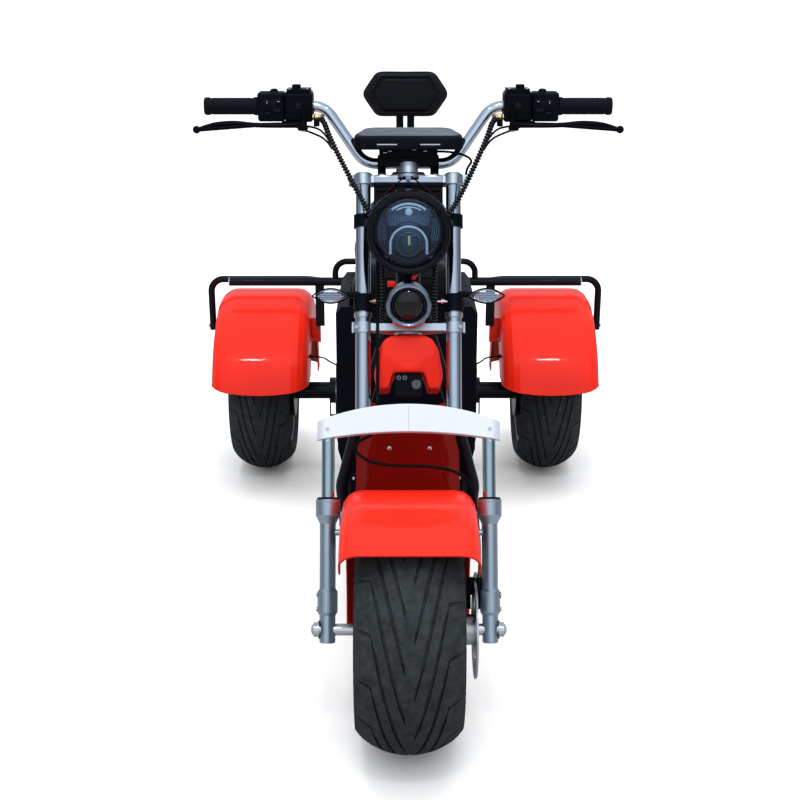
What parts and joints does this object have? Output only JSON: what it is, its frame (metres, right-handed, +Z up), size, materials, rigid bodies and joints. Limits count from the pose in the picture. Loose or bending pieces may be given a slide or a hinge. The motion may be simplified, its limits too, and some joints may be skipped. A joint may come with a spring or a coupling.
{
  "type": "trike scooter",
  "caption": "Electric chopper-style trike scooter with a steered front wheel on a long raked fork, a driven rear axle, red fenders, a battery box under the seat and a backrest",
  "frame": {"origin": "on the ground, under the middle of the overall length and width, wheels standing", "axes": "+Z up, -Y towards the front of the vehicle, +X towards the side seen on the right by someone standing in front of it"},
  "size_m": [1.184, 2.043, 1.2404],
  "materials": {
    "axle_steel": "satin",
    "bar_aluminium": "polished",
    "battery_blue": "matt",
    "black_metal": "satin",
    "black_plastic": "fine grain",
    "black_rubber": "ribbed",
    "bridge_aluminium": "satin",
    "chrome": "mirror",
    "disc_steel": "brushed",
    "display_silver": "gloss",
    "fork_aluminium": "polished",
    "frame_black": "gloss",
    "hose_rubber": "smooth",
    "leg_aluminium": "satin",
    "motor_aluminium": "cast",
    "red_lens": "clear",
    "red_paint": "gloss",
    "rim_alloy": "satin",
    "seat_leather": "grained",
    "signal_lens": "clear",
    "smoked_glass": "clear",
    "tyre_rubber": "matt"
  },
  "bodies": {
    "chassis": {"axle_housing": "frame_black", "backrest": "seat_leather", "backrest_struts": "frame_black", "battery_housing": "black_plastic", "battery_pack": "battery_blue", "cross_bar": "frame_black", "drive_motor": "motor_aluminium", "fender_cables": "hose_rubber", "fender_rails": "frame_black", "floorboard": "black_rubber", "front_panel": "red_paint", "head_tube": "frame_black", "lock_block": "black_plastic", "main_frame": "frame_black", "nose_cover": "red_paint", "pillion_seat": "seat_leather", "rear_fenders": "red_paint", "rear_shocks": "chrome", "seat_rails": "frame_black", "tail_lamp": "red_lens", "trailing_arms": "frame_black"},
    "steering": {"front_axle": "axle_steel", "fork_legs": "leg_aluminium", "stanchions": "chrome", "fork_bridge": "bridge_aluminium", "fork_tubes": "fork_aluminium", "lower_yoke": "fork_aluminium", "upper_yoke": "fork_aluminium", "steering_stem": "axle_steel", "handlebar": "bar_aluminium", "handlebar_risers": "black_metal", "grips": "black_rubber", "switch_pods": "black_plastic", "brake_reservoirs": "black_metal", "brake_levers": "black_metal", "display": "display_silver", "display_foot": "black_plastic", "headlight_shell": "chrome", "headlight_lens": "smoked_glass", "lamp_arms": "black_metal", "spot_lamp": "chrome", "spot_bracket": "black_metal", "signal_bodies": "black_plastic", "signal_lenses": "signal_lens", "front_fender": "red_paint", "front_caliper": "black_metal", "brake_hose": "hose_rubber", "conduits": "hose_rubber", "lamp_cover": "black_plastic"},
    "seat_lid": {"driver_seat": "seat_leather"},
    "front_wheel": {"front_tyre": "tyre_rubber", "front_rim": "rim_alloy", "front_brake_disc": "disc_steel"},
    "rear_wheel_left": {"rear_tyre_left": "tyre_rubber", "rear_rim_left": "rim_alloy"},
    "rear_wheel_right": {"rear_tyre_right": "tyre_rubber", "rear_rim_right": "rim_alloy"}
  },
  "joints": [
    {"name": "steering", "type": "hinge", "parent": "chassis", "child": "steering", "pos_m": [0, -0.75115, 0.22399], "axis": [0, 0.4147, 0.91], "range_deg": [-35, 35]},
    {"name": "front_wheel_spin", "type": "hinge", "parent": "steering", "child": "front_wheel", "pos_m": [0, -0.783, 0.2385], "axis": [1, 0, 0], "continuous": true},
    {"name": "rear_wheel_left_spin", "type": "hinge", "parent": "chassis", "child": "rear_wheel_left", "pos_m": [-0.431, 0.707, 0.2385], "axis": [1, 0, 0], "continuous": true},
    {"name": "rear_wheel_right_spin", "type": "hinge", "parent": "chassis", "child": "rear_wheel_right", "pos_m": [0.431, 0.707, 0.2385], "axis": [1, 0, 0], "continuous": true},
    {"name": "seat_hinge", "type": "hinge", "parent": "chassis", "child": "seat_lid", "pos_m": [0, -0.038, 0.6983], "axis": [1, 0, 0], "range_deg": [0, 70]}
  ]
}
